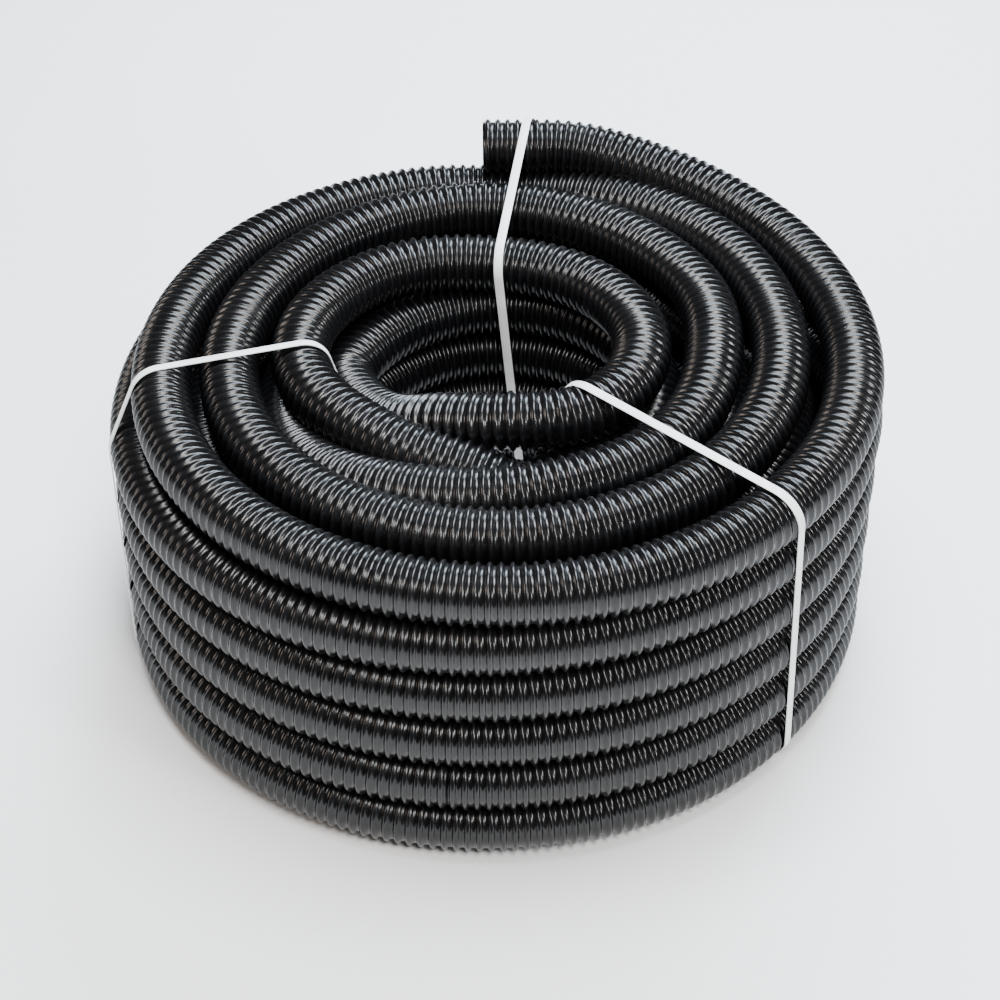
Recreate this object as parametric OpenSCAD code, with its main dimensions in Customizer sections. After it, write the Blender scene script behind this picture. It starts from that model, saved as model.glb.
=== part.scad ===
// Roll of ribbed vacuum hose for pools and spas, wound in layers and tied three times.
// Millimetres, +Z up. The origin is under the middle of the roll, on the surface it rests on.

/* [Hose] */
// Outside diameter of the hose, over its ribs
hose_od = 45; // [42:0.5:54]
// Inside diameter, which slides over the tail of a cuff or fitting
hose_bore = 38; // [30:0.5:38]
// Distance from one rib to the next
rib_pitch = 8; // [6:0.5:12]
// Depth of the groove between two ribs
rib_depth = 2; // [0.5:0.25:2]
// Straight length at each cut end
end_length = 60; // [48:1:80]

/* [Roll] */
// Middle radius of the outermost turns
roll_radius = 270; // [240:1:330]
// Layers, one on another
layers = 6; // [4:1:8]
// Turns side by side in a layer
lanes = 4; // [3:1:4]
// Free space between turns side by side
lane_gap = 5; // [2:0.5:8]
// Free space between layers
layer_gap = 0.2; // [0.1:0.1:1]
// How far in the top layer sits from the layers below it
top_inset = 12; // [0:1:20]

/* [Free ends] */
// Where the upper end's mouth lies, left of the middle of the roll's back
upper_mouth = 17; // [10:1:30]
// Height of the upper end above the top layer
upper_rise = 18; // [12:1:30]
// Angle over which the upper end comes down into the top turn
lead_angle = 40; // [35:1:50]
// Space left past each cut end for a cuff
cuff_room = 50; // [40:1:60]
// Gap in the bottom turn, beside the lower end
bottom_gap = 45; // [35:1:60]

/* [Ties] */
// Width of the flat band
tie_width = 7; // [4:0.5:15]
// Thickness of the flat band
tie_thickness = 0.8; // [0.5:0.1:2]
// Clearance between a band and the hose inside it
tie_clearance = 0.2; // [0.1:0.1:0.5]
// Direction of the rear tie
rear_tie_angle = 88; // [84:1:89]
// Direction of the left tie
left_tie_angle = 184; // [140:1:220]
// Direction of the front tie
front_tie_angle = 325; // [280:1:350]

/* [Hidden] */
$fn = 96;

black = "#1c1c20";
white = "#f2f2ee";
hose_r = hose_od / 2;
bore_r = hose_bore / 2;
lane_pitch = hose_od + lane_gap;
layer_pitch = hose_od + layer_gap;

// The bottom layer lies on the bands, and the top layer drops a little into the one below
bottom_z = tie_thickness + tie_clearance + hose_r;
below_top_z = bottom_z + (layers - 2) * layer_pitch;
top_z = below_top_z + sqrt(layer_pitch * layer_pitch - top_inset * top_inset);
top_radius = roll_radius - top_inset;
inner_radius = roll_radius - (lanes - 1) * lane_pitch;

// The upper end leans on the second turn of the top layer
upper_z = top_z + upper_rise;
upper_y = top_radius - lane_pitch + sqrt(layer_pitch * layer_pitch - upper_rise * upper_rise);
lead_from = [end_length - upper_mouth, upper_y, upper_z];
lead_to_angle = 90 - lead_angle;
lead_steps = 6;
lead_sides = 12;
bend_step = 7.5;

// The top turn stops where a cuff on the upper end needs its room
top_turn_stop = 90 + asin((upper_mouth + cuff_room) / top_radius);
top_turn_sweep = 360 - top_turn_stop + lead_to_angle;
bottom_turn_sweep = 360 - bottom_gap;

function lane_radius(lane) = roll_radius - lane * lane_pitch;
function layer_z(layer) = bottom_z + layer * layer_pitch;
function unit(v) = v / norm(v);
function on_circle(radius, angle, z) = [radius * cos(angle), radius * sin(angle), z];

// A smooth curve between two points, with its direction given at both
function curve(a, b, da, db, t) =
    (2 * t * t * t - 3 * t * t + 1) * a + (t * t * t - 2 * t * t + t) * da
    + (3 * t * t - 2 * t * t * t) * b + (t * t * t - t * t) * db;

// Places of the turns in the roll's section, without the outer turn of the top and bottom layers
section_places = concat(
    [for (layer = [1:layers - 2]) [lane_radius(0), layer_z(layer)]],
    [for (lane = [1:lanes - 1], layer = [0:layers - 2]) [lane_radius(lane), layer_z(layer)]],
    [for (lane = [1:lanes - 1]) [lane_radius(lane) - top_inset, top_z]]);

module ribbed_profile(length) {
    count = floor(length / rib_pitch);
    margin = (length - (count - 1) * rib_pitch) / 2;
    difference() {
        translate([bore_r, 0]) square([hose_r - bore_r, length]);
        for (i = [0:count - 2])
            translate([hose_r + rib_depth / 2, margin + (i + 0.5) * rib_pitch]) circle(r = rib_depth * 1.5);
    }
}

// A straight cut end along +X, with its mouth at the far face
module cut_end() {
    rotate([0, 90, 0]) rotate_extrude() ribbed_profile(end_length);
}

module turn(radius, z, start, sweep) {
    translate([0, 0, z]) rotate([0, 0, start])
        rotate_extrude(angle = sweep) translate([radius, 0]) circle(r = hose_r);
}

module roll_section() {
    for (place = section_places)
        translate(place) circle(r = hose_r);
    translate([inner_radius, layer_z(0)]) square([(lanes - 2) * lane_pitch, below_top_z - layer_z(0)]);
    translate([inner_radius, layer_z(1)]) square([(lanes - 1) * lane_pitch, below_top_z - layer_z(1)]);
    translate([inner_radius, below_top_z - hose_r])
        square([(lanes - 2) * lane_pitch - top_inset, top_z - below_top_z + hose_r]);
}

module hose_coil() {
    color(black) rotate_extrude() roll_section();
}

module hose_top_turn() {
    color(black) turn(top_radius, top_z, top_turn_stop, top_turn_sweep);
}

// The stretch from the raised upper end down into the top turn
module hose_top_lead() {
    lead_to = on_circle(top_radius, lead_to_angle, top_z);
    reach = norm(lead_to - lead_from);
    away = [reach, 0, 0];
    along = reach * [sin(lead_to_angle), -cos(lead_to_angle), 0];
    line = [for (i = [0:lead_steps]) curve(lead_from, lead_to, away, along, i / lead_steps)];
    points = [for (i = [0:lead_steps])
        let (ahead = i == 0 ? unit(away) : i == lead_steps ? unit(along) : unit(line[i + 1] - line[i - 1]))
        let (side = unit(cross(ahead, [0, 0, 1])), over = cross(side, ahead))
        for (k = [0:lead_sides - 1])
            let (a = 360 * k / lead_sides) line[i] + hose_r * (cos(a) * side + sin(a) * over)];
    walls = [for (i = [0:lead_steps - 1], k = [0:lead_sides - 1])
        let (a = i * lead_sides + k, b = i * lead_sides + (k + 1) % lead_sides)
        for (face = [[a, b, a + lead_sides], [b, b + lead_sides, a + lead_sides]]) face];
    near_end = [for (k = [lead_sides - 1:-1:0]) k];
    far_end = [for (k = [0:lead_sides - 1]) lead_steps * lead_sides + k];
    color(black) polyhedron(points, concat(walls, [near_end, far_end]));
}

module hose_top_end() {
    color(black) translate([end_length - upper_mouth, upper_y, upper_z]) mirror([1, 0, 0]) cut_end();
}

module hose_bottom_turn() {
    color(black) turn(roll_radius, bottom_z, 90, bottom_turn_sweep);
}

module hose_bottom_end() {
    color(black) translate([0, roll_radius, bottom_z]) cut_end();
}

// Points round a taut band that bends round hoses at the given places, listed anticlockwise
function facing(a, b) = atan2(a[0] - b[0], b[1] - a[1]);
function taut_points(places, reach) =
    let (count = len(places))
    [for (i = [0:count - 1])
        let (from = facing(places[(i + count - 1) % count], places[i]))
        let (bend = (facing(places[i], places[(i + 1) % count]) - from + 720) % 360)
        let (steps = ceil(bend / bend_step))
        for (k = [0:steps])
            let (a = from + bend * k / steps) places[i] + reach * [cos(a), sin(a)]];

module tie(angle, places) {
    inside = hose_r + tie_clearance;
    rotate([0, 0, angle]) rotate([90, 0, 0])
        linear_extrude(height = tie_width, center = true)
            difference() {
                polygon(taut_points(places, inside + tie_thickness));
                polygon(taut_points(places, inside));
            }
}

// The places are listed from the inside bottom turn out, up and back in; the cut ends are
// straight, so a tie across them meets their middle a little further out
inner_bottom = [inner_radius, bottom_z];
outer_bottom = [roll_radius, bottom_z];
outer_upper = [roll_radius, below_top_z];
outer_top = [top_radius, top_z];
inner_top = [inner_radius - top_inset, top_z];
lower_end_place = [roll_radius / sin(rear_tie_angle), bottom_z];
upper_end_place = [upper_y / sin(rear_tie_angle), upper_z];

module rear_tie() {
    color(white)
        tie(rear_tie_angle, [inner_bottom, lower_end_place, outer_upper, upper_end_place, inner_top]);
}

module left_tie() {
    color(white) tie(left_tie_angle, [inner_bottom, outer_bottom, outer_upper, outer_top, inner_top]);
}

module front_tie() {
    color(white) tie(front_tie_angle, [inner_bottom, outer_bottom, outer_upper, outer_top, inner_top]);
}

hose_coil();
hose_top_turn();
hose_top_lead();
hose_top_end();
hose_bottom_turn();
hose_bottom_end();
rear_tie();
left_tie();
front_tie();
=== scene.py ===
import math

import bpy
import numpy as np
from bpy.props import FloatProperty, FloatVectorProperty, IntProperty, PointerProperty
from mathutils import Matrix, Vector


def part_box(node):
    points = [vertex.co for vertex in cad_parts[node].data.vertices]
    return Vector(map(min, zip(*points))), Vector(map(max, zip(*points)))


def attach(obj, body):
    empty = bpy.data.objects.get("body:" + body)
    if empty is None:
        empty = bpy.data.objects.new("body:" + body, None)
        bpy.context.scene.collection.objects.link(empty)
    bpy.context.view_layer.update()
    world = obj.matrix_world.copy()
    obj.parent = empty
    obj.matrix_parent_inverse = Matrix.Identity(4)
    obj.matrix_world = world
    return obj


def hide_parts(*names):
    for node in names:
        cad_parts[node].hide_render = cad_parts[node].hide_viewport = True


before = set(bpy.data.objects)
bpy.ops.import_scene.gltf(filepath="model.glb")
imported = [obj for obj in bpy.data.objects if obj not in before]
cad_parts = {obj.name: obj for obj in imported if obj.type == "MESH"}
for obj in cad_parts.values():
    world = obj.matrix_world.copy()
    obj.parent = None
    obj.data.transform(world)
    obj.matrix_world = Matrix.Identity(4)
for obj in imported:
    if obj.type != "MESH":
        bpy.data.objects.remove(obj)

bl_info = {
    "name": "Vacuum Hose Roll",
    "version": (1, 0, 0),
    "blender": (4, 5, 0),
    "location": "View3D > Sidebar > Hose Roll",
    "description": "Makes a tied roll of ribbed vacuum hose for pools and spas",
    "category": "Object",
}

MM = 0.001
BODY = "root"

# Places of the wound turns and of the cut ends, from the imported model
COIL_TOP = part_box("hose_coil")[1].z
TOP_END_LOW, TOP_END_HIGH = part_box("hose_top_end")
BOTTOM_END_LOW, BOTTOM_END_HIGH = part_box("hose_bottom_end")
BOTTOM_TURN_LOW, BOTTOM_TURN_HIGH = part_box("hose_bottom_turn")
HOSE_SIZE = BOTTOM_TURN_HIGH.z - BOTTOM_TURN_LOW.z
OUTER_RADIUS = BOTTOM_END_HIGH.y - HOSE_SIZE / 2
BOTTOM_HEIGHT = (BOTTOM_TURN_LOW.z + BOTTOM_TURN_HIGH.z) / 2

# Distance from one turn to the next, side by side and one on another
LANE_STEP = 50 * MM
LAYER_STEP = 45.2 * MM

# The loose turns on top, from the upper end down into the roll: degrees run clockwise from the
# back, then radius and height in millimetres
TOP_ROUTE = [
    (30, 254, 261), (50, 258, 254), (90, 262, 250), (135, 266, 249), (180, 268, 248),
    (225, 262, 244), (270, 254, 240), (300, 250, 236), (325, 248, 231), (345, 246, 228),
    (365, 239, 227), (385, 227, 240), (405, 220, 246), (450, 209, 250), (495, 210, 249),
    (540, 212, 248), (585, 209, 243), (630, 204, 241), (675, 200, 239), (720, 197, 240),
    (745, 184, 242), (765, 174, 245), (785, 168, 247), (810, 159, 250), (855, 163, 249),
    (900, 166, 247), (925, 169, 238), (950, 170, 221), (975, 166, 205), (1000, 164, 200),
    (1035, 167, 199), (1080, 170, 200), (1125, 170, 203), (1170, 170, 206), (1200, 170, 205),
    (1225, 161, 207), (1248, 140, 218), (1268, 127, 231), (1300, 131, 241), (1350, 152, 243),
    (1395, 142, 241), (1440, 117, 242), (1485, 107, 246), (1530, 105, 250), (1575, 101, 251),
    (1620, 87, 249), (1650, 85, 237), (1680, 94, 215), (1710, 112, 201),
]

# The wound turns below, in the order in which the hose runs through them: layer, lane, the angle
# at which the hose leaves for the next place, and the angle over which it moves across
WOUND_TURNS = [
    (5, 3, 138, 80), (4, 3, 125, 90), (3, 3, 120, 90), (2, 3, 115, 90), (1, 3, 94, 80),
    (1, 2, 78, 64), (2, 2, 78, 64), (3, 2, 78, 64), (4, 2, 64, 56), (4, 1, 54, 50),
    (5, 1, 44, 50), (5, 0, 34, 50), (4, 0, 34, 50), (3, 0, 34, 50), (2, 0, 24, 50),
    (2, 1, 14, 50), (1, 1, 4, 50), (1, 0, 0, 0),
]
FIRST_WOUND_TURN = 5

# Degrees between two stations of a wound turn, and between two points of the smooth line
WOUND_STATION = 15
LINE_STEP = 0.5

# Half the length over which the line's direction is taken
LOOK_AHEAD = 3 * MM

# How the wound turns have settled, in millimetres, with degrees clockwise from the back: the fifth
# layer gives way under the raised upper end, all lie a little to the left and are a little oval,
# the innermost turns bulge into the hole and up at the front, and the layers slant, so that they
# are highest at the right and lower at the back than at the front
LANE_SPREAD = (8, -11, -7, 0)
SPREAD_MIDDLE, SPREAD_WIDTH = -15, 38
LEFT_SHIFT = 4.5
OVAL = 3
BULGE_IN, BULGE_UP = 15, 8
BULGE_MIDDLE, BULGE_WIDTH = 168, 32
RIGHT_RISE, BACK_DROP = 4, 2.5

# Layers over which the slant grows to its full size
SLANT_LAYERS = 4

# Heights and radii between which each of these comes in, in metres
SPREAD_HEIGHTS = (0.159, 0.199)
BULGE_IN_HEIGHTS = (0.135, 0.155)
BULGE_UP_HEIGHTS = (0.165, 0.185)
OVAL_RADII = (0.17, 0.27)

# One rib: how far along its pitch, and how much of the groove's depth is cut away there
RIB_PROFILE = [
    (0.0, 1.0), (0.17, 0.96), (0.28, 0.50), (0.40, 0.07), (0.50, 0.0), (0.60, 0.07), (0.72, 0.50),
    (0.83, 0.96),
]

# Thickness of the smooth bore tube, and the space between it and the ribbed wall round it
BORE_WALL = 0.55 * MM
BORE_GAP = 0.05 * MM

# Each band's plane: a point that it crosses on the roll's top, the direction in which it runs
# outwards, in degrees anticlockwise from +X, and how far it leans sideways as it goes down
BANDS = {
    "rear_band": ((-3, 110), 80.5, 0.09),
    "left_band": ((-171, -22), 195, -0.10),
    "front_band": ((84, -97), -41, -0.07),
}

# How far inside its point a band still reaches for turns, the least share of a turn's run that
# has to cross the band's plane, and the points taken round each turn
BAND_INSIDE = 60 * MM
LEAST_CROSSING = 0.5
POINTS_ROUND = 48


class HoseSettings(bpy.types.PropertyGroup):
    """Sizes and colour of the hose."""

    diameter: FloatProperty(
        name="Diameter", description="Outside diameter over the ribs", default=44.8 * MM, unit="LENGTH"
    )
    bore: FloatProperty(
        name="Bore", description="Inside diameter", default=38 * MM, unit="LENGTH"
    )
    rib_pitch: FloatProperty(
        name="Rib Pitch", description="Distance from one rib to the next", default=8.1 * MM,
        unit="LENGTH"
    )
    groove_depth: FloatProperty(
        name="Groove Depth", description="Depth of the groove between ribs", default=2.6 * MM,
        unit="LENGTH"
    )
    sides: IntProperty(
        name="Sides", description="Faces round the hose", default=24, min=12
    )
    stretches: IntProperty(
        name="Stretches", description="Pieces that the ribbed wall is made in", default=10, min=8
    )
    colour: FloatVectorProperty(
        name="Colour", description="Colour of the plastic", subtype="COLOR",
        default=(0.0035, 0.0036, 0.0042)
    )


class BandSettings(bpy.types.PropertyGroup):
    """Sizes and colour of the bands that tie the roll."""

    width: FloatProperty(
        name="Width", description="Width of a band", default=7 * MM, unit="LENGTH"
    )
    thickness: FloatProperty(
        name="Thickness", description="Thickness of a band", default=0.8 * MM, unit="LENGTH"
    )
    clearance: FloatProperty(
        name="Clearance", description="Space between a band and the ribs", default=0.2 * MM,
        unit="LENGTH"
    )
    colour: FloatVectorProperty(
        name="Colour", description="Colour of the bands", subtype="COLOR",
        default=(0.86, 0.87, 0.86)
    )


class StageSettings(bpy.types.PropertyGroup):
    """Camera, floor and lights."""

    lens: FloatProperty(
        name="Lens", description="Focal length in millimetres", default=86.1
    )
    camera_place: FloatVectorProperty(
        name="Camera Place", description="Where the camera stands", unit="LENGTH",
        default=(0.006, -1.424, 1.3475)
    )
    camera_target: FloatVectorProperty(
        name="Camera Target", description="What the camera looks at", unit="LENGTH",
        default=(-0.0016, 0.0, 0.0971)
    )
    floor_size: FloatProperty(
        name="Floor Size", description="Width of the floor", default=8.0, unit="LENGTH"
    )
    floor_colour: FloatVectorProperty(
        name="Floor Colour", description="Colour of the floor", subtype="COLOR",
        default=(0.93, 0.93, 0.93)
    )


def smooth_step(t):
    """Return a smooth rise from 0 to 1 as t goes from 0 to 1."""
    t = min(max(t, 0.0), 1.0)
    return t**3 * (t * (6 * t - 15) + 10)


def part_way(value, start, end):
    """Return how far a value has gone from start to end, from 0 to 1."""
    return min(max((value - start) / (end - start), 0), 1)


def near(angle, middle, width):
    """Return 1 at the middle direction, falling smoothly to 0 on both sides, in degrees."""
    away = (angle - middle + 180) % 360 - 180
    return math.exp(-(away / width) ** 2)


def place_in_section(layer, lane):
    """Return the radius and height of a place in the roll's section."""
    return OUTER_RADIUS - lane * LANE_STEP, BOTTOM_HEIGHT + (layer - 1) * LAYER_STEP


def settled(angle, radius, height):
    """Return the place after the roll's own weight and slant have moved it."""
    direction = math.radians(90 - angle)
    lane = min(max(round((OUTER_RADIUS - radius) / LANE_STEP), 0), len(LANE_SPREAD) - 1)
    slant = part_way(height, BOTTOM_HEIGHT, BOTTOM_HEIGHT + SLANT_LAYERS * LAYER_STEP)
    spread = near(angle, SPREAD_MIDDLE, SPREAD_WIDTH) * part_way(height, *SPREAD_HEIGHTS)
    radius += spread * LANE_SPREAD[lane] * MM
    radius -= LEFT_SHIFT * MM * math.cos(direction)
    if lane == len(LANE_SPREAD) - 1:
        bulge = near(angle, BULGE_MIDDLE, BULGE_WIDTH)
        radius -= BULGE_IN * MM * bulge * part_way(height, *BULGE_IN_HEIGHTS)
        height += BULGE_UP * MM * bulge * part_way(height, *BULGE_UP_HEIGHTS)
    radius += OVAL * MM * math.sin(2 * direction) * part_way(radius, *OVAL_RADII)
    rise = RIGHT_RISE * math.cos(direction) - BACK_DROP * (1 + math.sin(direction))
    height += slant * rise * MM
    return angle, radius, height


def straight_stations(low, high, turns):
    """Return stations along a straight cut end that lies between two corners of its box."""
    side = (low.y + high.y) / 2
    height = (low.z + high.z) / 2
    stations = []
    for x in np.linspace(low.x, high.x, 4):
        stations.append((360 * turns + math.degrees(math.atan2(x, side)), math.hypot(x, side), height))
    return stations


def wound_stations(start):
    """Return stations through the wound turns, after the given angle."""
    leaving = 360 * FIRST_WOUND_TURN + WOUND_TURNS[0][2]
    begin = start + WOUND_STATION
    stations = []
    for turn, (layer, lane, angle, width) in enumerate(WOUND_TURNS):
        radius, height = place_in_section(layer, lane)
        if turn == len(WOUND_TURNS) - 1:
            leaving = 360 * math.ceil(begin / 360)
            next_radius, next_height, end = radius, height, leaving
        else:
            next_radius, next_height = place_in_section(*WOUND_TURNS[turn + 1][:2])
            end = leaving + width
        while begin < end:
            share = smooth_step((begin - leaving) / max(width, 1))
            at_radius = radius + (next_radius - radius) * share
            at_height = height + (next_height - height) * share
            stations.append(settled(begin, at_radius, at_height))
            begin += WOUND_STATION
        leaving += 360 + WOUND_TURNS[min(turn + 1, len(WOUND_TURNS) - 1)][2] - angle
    return stations


def through(known, values, wanted):
    """Return a smooth curve through the known values, at the wanted places."""
    gaps = np.diff(known)
    rises = np.diff(values) / gaps
    slopes = np.empty_like(values)
    slopes[1:-1] = (gaps[1:] * rises[:-1] + gaps[:-1] * rises[1:]) / (gaps[1:] + gaps[:-1])
    slopes[0] = rises[0]
    slopes[-1] = rises[-1]
    i = np.clip(np.searchsorted(known, wanted) - 1, 0, len(known) - 2)
    t = (wanted - known[i]) / gaps[i]
    return (
        (2 * t**3 - 3 * t**2 + 1) * values[i]
        + (t**3 - 2 * t**2 + t) * gaps[i] * slopes[i]
        + (3 * t**2 - 2 * t**3) * values[i + 1]
        + (t**3 - t**2) * gaps[i] * slopes[i + 1]
    )


def hose_line():
    """Return the hose's centreline as close points, with the length run at each."""
    stations = straight_stations(TOP_END_LOW, TOP_END_HIGH, 0)
    for angle, radius, height in TOP_ROUTE:
        stations.append((angle, radius * MM, height * MM))
    stations += wound_stations(stations[-1][0])
    turns = round(stations[-1][0] / 360)
    stations = [s for s in stations if s[0] < 360 * turns - WOUND_STATION / 2]
    stations += straight_stations(BOTTOM_END_LOW, BOTTOM_END_HIGH, turns)
    angles, radii, heights = (np.array(column) for column in zip(*stations))
    close = np.arange(angles[0], angles[-1], LINE_STEP)
    close = np.append(close, angles[-1])
    radius = through(angles, radii, close)
    direction = np.radians(90 - close)
    line = np.column_stack(
        (radius * np.cos(direction), radius * np.sin(direction), through(angles, heights, close))
    )
    run = np.concatenate(([0.0], np.cumsum(np.linalg.norm(np.diff(line, axis=0), axis=1))))
    return line, run


def along(line, run, places):
    """Return the points of the line at the given lengths."""
    return np.column_stack([np.interp(places, run, line[:, k]) for k in range(3)])


def rings(line, run, places, radii, sides):
    """Return rings of points round the line, one at each of the given lengths."""
    centres = along(line, run, places)
    ahead = along(line, run, places + LOOK_AHEAD) - along(line, run, places - LOOK_AHEAD)
    ahead /= np.linalg.norm(ahead, axis=1)[:, None]
    across = np.cross(ahead, (0.0, 0.0, 1.0))
    across /= np.linalg.norm(across, axis=1)[:, None]
    over = np.cross(across, ahead)
    turn = 2 * np.pi * np.arange(sides) / sides
    spokes = (
        np.cos(turn)[None, :, None] * across[:, None, :] + np.sin(turn)[None, :, None] * over[:, None, :]
    )
    return centres[:, None, :] + spokes * np.asarray(radii)[:, None, None]


def tube_shell(name, outer, inner, crest):
    """Return a closed shell between rings of an outer and of an inner wall, with flat ends."""
    outer_rows, sides, _ = outer.shape
    inner_rows = inner.shape[0]
    points = np.concatenate((outer.reshape(-1, 3), inner.reshape(-1, 3)))
    out_and_back = [*range(outer_rows), *range(outer_rows + inner_rows - 1, outer_rows - 1, -1), 0]
    rows = np.array(out_and_back) * sides
    k = np.arange(sides)
    ahead = (k + 1) % sides
    a = rows[:-1, None] + k
    b = rows[:-1, None] + ahead
    c = rows[1:, None] + ahead
    d = rows[1:, None] + k
    faces = np.stack((a, b, c, d), axis=-1).reshape(-1, 4)
    mesh = bpy.data.meshes.new(name)
    mesh.from_pydata(points, [], faces)
    mesh.shade_smooth()
    for first in (sides * (outer_rows - 1), len(faces) - sides):
        for face in range(first, first + sides):
            mesh.polygons[face].use_smooth = False
    # Crest height at each point, 0 in the grooves and 1 on the crests; the hose's plastic reads it to
    # paint shade into the grooves
    heights = np.concatenate((np.repeat(crest, sides), np.zeros(inner_rows * sides)))
    mesh.attributes.new("crest", "FLOAT", "POINT").data.foreach_set("value", heights)
    mesh.update()
    piece = bpy.data.objects.new(name, mesh)
    bpy.context.collection.objects.link(piece)
    return piece


def node(tree, kind, **sockets):
    """Add a node, and set its input sockets by name."""
    made = tree.nodes.new(kind)
    for name, value in sockets.items():
        made.inputs[name.replace("_", " ")].default_value = value
    return made


def new_material(name):
    """Return a material with nodes, its tree and its shader."""
    material = bpy.data.materials.new(name)
    material.use_nodes = True
    tree = material.node_tree
    return material, tree, tree.nodes["Principled BSDF"]


def colour_ramp(tree, factor, stops):
    """Add a colour ramp that the factor drives."""
    ramp = tree.nodes.new("ShaderNodeValToRGB")
    while len(ramp.color_ramp.elements) < len(stops):
        ramp.color_ramp.elements.new(0.5)
    for element, (position, colour) in zip(ramp.color_ramp.elements, stops):
        element.position = position
        element.color = (*colour, 1.0)
    tree.links.new(factor, ramp.inputs["Fac"])
    return ramp


def glossy_black_plastic(colour):
    """Return the hose's plastic: painted shade that darkens the grooves, crests a little lighter, dusty
    patches, scuffed gloss and faint moulding marks.
    """
    material, tree, shader = new_material("glossy_black_plastic")
    link = tree.links.new
    place = tree.nodes.new("ShaderNodeTexCoord").outputs["Object"]
    crest = tree.nodes.new("ShaderNodeAttribute")
    crest.attribute_name = "crest"
    scuffs = node(tree, "ShaderNodeTexNoise", Scale=38.0, Detail=5.0, Roughness=0.62)
    link(place, scuffs.inputs["Vector"])
    patches = node(tree, "ShaderNodeTexNoise", Scale=7.0, Detail=3.0, Roughness=0.5)
    link(place, patches.inputs["Vector"])
    grain = node(tree, "ShaderNodeTexNoise", Scale=900.0, Detail=3.0, Roughness=0.6)
    link(place, grain.inputs["Vector"])
    base = Vector(colour)
    # Painted shade: the grooves between the ribs are darkened to under half the base colour, and the
    # crests are a little lighter than the base
    groove = base * 0.45
    dusty = base * 1.7 + Vector((0.0014, 0.0008, 0.0))
    body = colour_ramp(tree, crest.outputs["Fac"], [(0.0, groove), (0.75, base), (1.0, base * 1.25)])
    dust = colour_ramp(tree, patches.outputs["Fac"], [(0.42, (0, 0, 0)), (0.75, (0.6, 0.6, 0.6))])
    mix = tree.nodes.new("ShaderNodeMix")
    mix.data_type = "RGBA"
    link(dust.outputs["Color"], mix.inputs["Factor"])
    link(body.outputs["Color"], mix.inputs["A"])
    mix.inputs["B"].default_value = (*dusty, 1.0)
    link(mix.outputs["Result"], shader.inputs["Base Color"])
    gloss = tree.nodes.new("ShaderNodeMapRange")
    gloss.inputs["From Min"].default_value = 0.3
    gloss.inputs["From Max"].default_value = 0.75
    gloss.inputs["To Min"].default_value = 0.17
    gloss.inputs["To Max"].default_value = 0.30
    link(scuffs.outputs["Fac"], gloss.inputs["Value"])
    link(gloss.outputs["Result"], shader.inputs["Roughness"])
    bump = node(tree, "ShaderNodeBump", Strength=0.10, Distance=0.0004)
    link(grain.outputs["Fac"], bump.inputs["Height"])
    link(bump.outputs["Normal"], shader.inputs["Normal"])
    shader.inputs["Specular IOR Level"].default_value = 0.42
    return material


def white_strap_plastic(colour):
    """Return the bands' plastic: a fine emboss across the strap and a little grime."""
    material, tree, shader = new_material("white_strap_plastic")
    link = tree.links.new
    place = tree.nodes.new("ShaderNodeTexCoord")
    weave = node(tree, "ShaderNodeTexWave", Scale=420.0, Distortion=0.4, Detail=1.0)
    weave.wave_type = "BANDS"
    weave.bands_direction = "DIAGONAL"
    link(place.outputs["Object"], weave.inputs["Vector"])
    grime = node(tree, "ShaderNodeTexNoise", Scale=22.0, Detail=5.0, Roughness=0.6)
    link(place.outputs["Object"], grime.inputs["Vector"])
    base = Vector(colour)
    tint = colour_ramp(tree, grime.outputs["Fac"], [(0.35, base * 0.86), (0.6, base)])
    link(tint.outputs["Color"], shader.inputs["Base Color"])
    bump = node(tree, "ShaderNodeBump", Strength=0.25, Distance=0.0003)
    link(weave.outputs["Fac"], bump.inputs["Height"])
    link(bump.outputs["Normal"], shader.inputs["Normal"])
    shader.inputs["Roughness"].default_value = 0.42
    shader.inputs["Specular IOR Level"].default_value = 0.45
    shader.inputs["Subsurface Weight"].default_value = 0.08
    shader.inputs["Subsurface Radius"].default_value = (0.002, 0.002, 0.002)
    return material


def pale_floor(colour):
    """Return the floor's matt finish."""
    material, tree, shader = new_material("pale_floor")
    cloud = node(tree, "ShaderNodeTexNoise", Scale=3.0, Detail=2.0)
    place = tree.nodes.new("ShaderNodeTexCoord").outputs["Object"]
    tree.links.new(place, cloud.inputs["Vector"])
    base = Vector(colour)
    tint = colour_ramp(tree, cloud.outputs["Fac"], [(0.3, base * 0.99), (0.7, base)])
    tree.links.new(tint.outputs["Color"], shader.inputs["Base Color"])
    shader.inputs["Roughness"].default_value = 0.7
    return material


def turns_right(a, b, c):
    """Tell whether the way from a by b to c doesn't turn left."""
    return (b[0] - a[0]) * (c[1] - a[1]) - (b[1] - a[1]) * (c[0] - a[0]) <= 0


def hull(points):
    """Return the corners of the convex outline round flat points, anticlockwise."""
    points = sorted(set(points))
    sides = []
    for ordered in (points, points[::-1]):
        side = []
        for p in ordered:
            while len(side) > 1 and turns_right(side[-2], side[-1], p):
                side.pop()
            side.append(p)
        sides += side[:-1]
    return sides


def band_plane(corner, heading, lean):
    """Return a point of a band's plane, its outward and upward directions, and its normal."""
    point = Vector((corner[0] * MM, corner[1] * MM, COIL_TOP))
    outward = Vector((math.cos(math.radians(heading)), math.sin(math.radians(heading)), 0))
    sideways = outward.cross(Vector((0, 0, 1)))
    upward = (Vector((0, 0, 1)) - sideways * lean).normalized()
    return point, outward, upward, outward.cross(upward).normalized()


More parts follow.
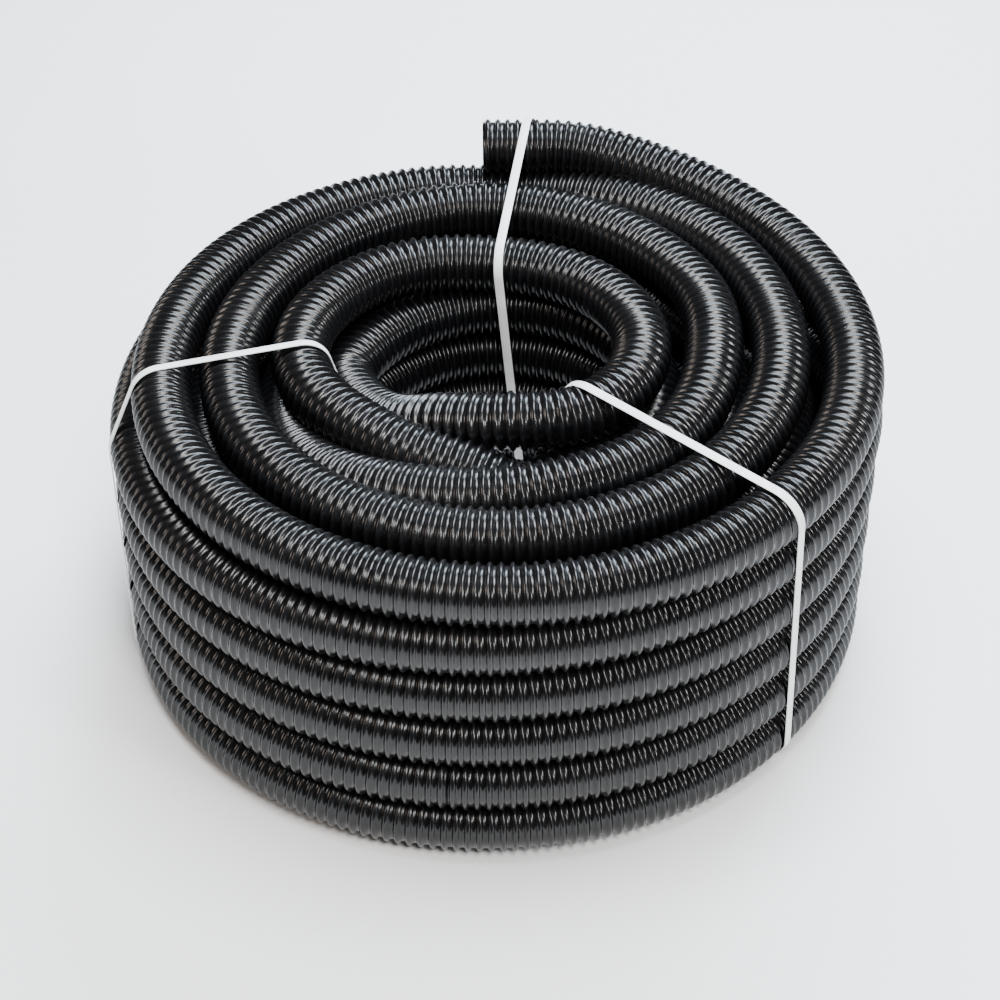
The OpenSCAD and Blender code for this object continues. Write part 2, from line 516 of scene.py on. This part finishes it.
def band_outline(corner, heading, lean, reach):
    """Return points round a band, at a distance from every hose that it passes."""
    line, _ = hose_line()
    point, outward, upward, normal = band_plane(corner, heading, lean)
    from_plane = (line - np.array(point)) @ np.array(normal)
    crossings = np.nonzero(from_plane[:-1] * from_plane[1:] <= 0)[0]
    round_hoses = []
    for i in crossings:
        share = from_plane[i] / (from_plane[i] - from_plane[i + 1])
        centre = Vector(line[i] + (line[i + 1] - line[i]) * share)
        run = (Vector(line[i + 1]) - Vector(line[i])).normalized()
        u = (centre - point).dot(outward)
        if u < -BAND_INSIDE or abs(run.dot(normal)) < LEAST_CROSSING:
            continue
        v = (centre - point).dot(upward)
        long_reach = reach / math.sqrt(1 - run.dot(outward) ** 2)
        for step in range(POINTS_ROUND):
            angle = math.radians(360 / POINTS_ROUND * step)
            round_hoses.append((u + long_reach * math.cos(angle), v + reach * math.sin(angle)))
    return [point + outward * u + upward * v for u, v in hull(round_hoses)], normal


def deselect():
    """Leave nothing selected."""
    bpy.ops.object.select_all(action="DESELECT")


def strap(name, outline, normal, width, thickness):
    """Model a closed flat strap whose inner face follows the outline."""
    deselect()
    bpy.ops.mesh.primitive_circle_add(vertices=len(outline), radius=0.1)
    piece = bpy.context.object
    piece.name = name
    piece.data.name = name
    for vertex, place in zip(piece.data.vertices, outline):
        vertex.co = place - normal * width / 2
    bpy.ops.object.mode_set(mode="EDIT")
    bpy.ops.mesh.select_all(action="SELECT")
    bpy.ops.mesh.extrude_edges_move(TRANSFORM_OT_translate={"value": normal * width})
    bpy.ops.mesh.select_all(action="SELECT")
    bpy.ops.mesh.normals_make_consistent(inside=False)
    bpy.ops.object.mode_set(mode="OBJECT")
    middle = sum((Vector(place) for place in outline), Vector()) / len(outline)
    face = piece.data.polygons[0]
    if face.normal.dot(face.center - middle) < 0:
        piece.data.flip_normals()
    wall = piece.modifiers.new("wall", "SOLIDIFY")
    wall.thickness = thickness
    wall.offset = 1
    wall.use_even_offset = True
    soft = piece.modifiers.new("edges", "BEVEL")
    soft.width = thickness * 0.3
    soft.segments = 2
    soft.limit_method = "ANGLE"
    soft.angle_limit = math.radians(40)
    for modifier in ("wall", "edges"):
        bpy.ops.object.modifier_apply(modifier=modifier)
    bpy.ops.object.shade_smooth_by_angle(angle=math.radians(35))
    return piece


class HOSE_OT_camera(bpy.types.Operator):
    """Add the camera."""

    bl_idname = "hose_roll.camera"
    bl_label = "Add Camera"

    def execute(self, context):
        stage = context.scene.hose_stage
        deselect()
        bpy.ops.object.camera_add(location=stage.camera_place)
        camera = context.object
        camera.name = "main_camera"
        view = Vector(stage.camera_target) - Vector(stage.camera_place)
        camera.rotation_euler = view.to_track_quat("-Z", "Y").to_euler()
        camera.data.lens = stage.lens
        camera.data.clip_end = 50
        context.scene.camera = camera
        return {"FINISHED"}


class HOSE_OT_hose(bpy.types.Operator):
    """Add the hose: its smooth bore, and its ribbed wall in stretches."""

    bl_idname = "hose_roll.hose"
    bl_label = "Add Hose"

    def execute(self, context):
        hose = context.scene.hose_sizes
        line, run = hose_line()
        count = round(run[-1] / hose.rib_pitch)
        pitch = run[-1] / count
        plastic = glossy_black_plastic(hose.colour)
        bore_places = np.linspace(0, run[-1], count + 1)
        radius = hose.bore / 2
        bore = tube_shell(
            "hose_bore",
            rings(line, run, bore_places, np.full(count + 1, radius + BORE_WALL), hose.sides // 2),
            rings(line, run, bore_places, np.full(count + 1, radius), hose.sides // 2),
            np.zeros(count + 1),
        )
        stretches = []
        ends = [round(count * i / hose.stretches) for i in range(hose.stretches + 1)]
        for i, (first, last) in enumerate(zip(ends, ends[1:])):
            places = [(rib + share) * pitch for rib in range(first, last) for share, _ in RIB_PROFILE]
            depths = [depth for _ in range(first, last) for _, depth in RIB_PROFILE]
            places = np.array(places + [last * pitch])
            depths = np.array(depths + [1.0])
            outside = hose.diameter / 2 - depths * hose.groove_depth
            inside_places = pitch * np.arange(first, last + 1)
            inside = np.full(len(inside_places), radius + BORE_WALL + BORE_GAP)
            stretches.append(
                tube_shell(
                    f"hose_wall_{i + 1:02d}",
                    rings(line, run, places, outside, hose.sides),
                    rings(line, run, inside_places, inside, hose.sides),
                    1 - depths,
                )
            )
        for piece in [bore] + stretches:
            piece.data.materials.append(plastic)
            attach(piece, BODY)
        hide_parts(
            "hose_coil", "hose_top_turn", "hose_top_lead", "hose_top_end", "hose_bottom_turn",
            "hose_bottom_end",
        )
        print(f"hose: {run[-1]:.3f} m long, {count} ribs")
        return {"FINISHED"}


class HOSE_OT_bands(bpy.types.Operator):
    """Add the three bands."""

    bl_idname = "hose_roll.bands"
    bl_label = "Add Bands"

    def execute(self, context):
        band = context.scene.hose_bands
        plastic = white_strap_plastic(band.colour)
        reach = context.scene.hose_sizes.diameter / 2 + band.clearance
        for name, (corner, heading, lean) in BANDS.items():
            outline, normal = band_outline(corner, heading, lean, reach)
            piece = strap(name, outline, normal, band.width, band.thickness)
            piece.data.materials.append(plastic)
            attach(piece, BODY)
            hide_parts(name.replace("band", "tie"))
        return {"FINISHED"}


def softbox(name, place, target, width, depth, power, colour):
    """Add a lamp that faces the target, with its depth in the upright plane."""
    deselect()
    bpy.ops.object.light_add(type="AREA", location=place)
    lamp = bpy.context.object
    lamp.name = name
    lamp.data.shape = "RECTANGLE"
    lamp.data.size = width
    lamp.data.size_y = depth
    lamp.data.energy = power
    lamp.data.color = colour
    lamp.rotation_euler = (Vector(target) - Vector(place)).to_track_quat("-Z", "Y").to_euler()
    return lamp


class HOSE_OT_stage(bpy.types.Operator):
    """Add the floor, the lamps and the sky."""

    bl_idname = "hose_roll.stage"
    bl_label = "Add Stage"

    def execute(self, context):
        stage = context.scene.hose_stage
        deselect()
        bpy.ops.mesh.primitive_plane_add(size=stage.floor_size, location=(0, 0, 0))
        floor = context.object
        floor.name = "floor"
        floor.data.materials.append(pale_floor(stage.floor_colour))
        middle = (0, 0, 0.15)
        softbox("back_lamp", (0.5, 1.6, 1.7), middle, 1.5, 1.1, 110, (0.78, 0.89, 1.0))
        softbox("overhead_lamp", (0.1, 0.1, 2.4), middle, 1.0, 1.4, 120, (0.88, 0.94, 1.0))
        softbox("front_lamp", (0.4, -1.5, 2.3), middle, 0.6, 0.9, 60, (1.0, 0.97, 0.94))
        softbox("right_lamp", (1.6, -1.3, 1.2), middle, 0.4, 0.4, 24, (1.0, 1.0, 1.0))
        softbox("left_lamp", (-2.0, -0.3, 0.9), middle, 0.6, 0.6, 12, (1.0, 0.86, 0.76))
        world = bpy.data.worlds.new("studio")
        world.use_nodes = True
        sky = world.node_tree.nodes["Background"]
        sky.inputs["Color"].default_value = (1.0, 1.0, 1.0, 1.0)
        sky.inputs["Strength"].default_value = 0.12
        context.scene.world = world
        return {"FINISHED"}


class HOSE_PT_roll(bpy.types.Panel):
    """List the steps that make the roll."""

    bl_idname = "HOSE_PT_roll"
    bl_label = "Hose Roll"
    bl_space_type = "VIEW_3D"
    bl_region_type = "UI"
    bl_category = "Hose Roll"

    def draw(self, context):
        for operator in STEPS:
            self.layout.operator(operator.bl_idname)
        for settings in ("hose_sizes", "hose_bands", "hose_stage"):
            group = getattr(context.scene, settings)
            for name in group.__annotations__:
                self.layout.prop(group, name)


STEPS = (HOSE_OT_camera, HOSE_OT_hose, HOSE_OT_bands, HOSE_OT_stage)
CLASSES = (HoseSettings, BandSettings, StageSettings, *STEPS, HOSE_PT_roll)


def register():
    """Register the classes and the scene's settings."""
    for cls in CLASSES:
        bpy.utils.register_class(cls)
    bpy.types.Scene.hose_sizes = PointerProperty(type=HoseSettings)
    bpy.types.Scene.hose_bands = PointerProperty(type=BandSettings)
    bpy.types.Scene.hose_stage = PointerProperty(type=StageSettings)


def unregister():
    """Take away the scene's settings and the classes."""
    del bpy.types.Scene.hose_stage
    del bpy.types.Scene.hose_bands
    del bpy.types.Scene.hose_sizes
    for cls in reversed(CLASSES):
        bpy.utils.unregister_class(cls)


def main():
    """Make the roll and its stage, and write how large it came out."""
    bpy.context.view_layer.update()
    register()
    bpy.ops.hose_roll.camera()
    bpy.ops.hose_roll.hose()
    bpy.ops.hose_roll.bands()
    bpy.ops.hose_roll.stage()


if __name__ == "__main__":
    main()
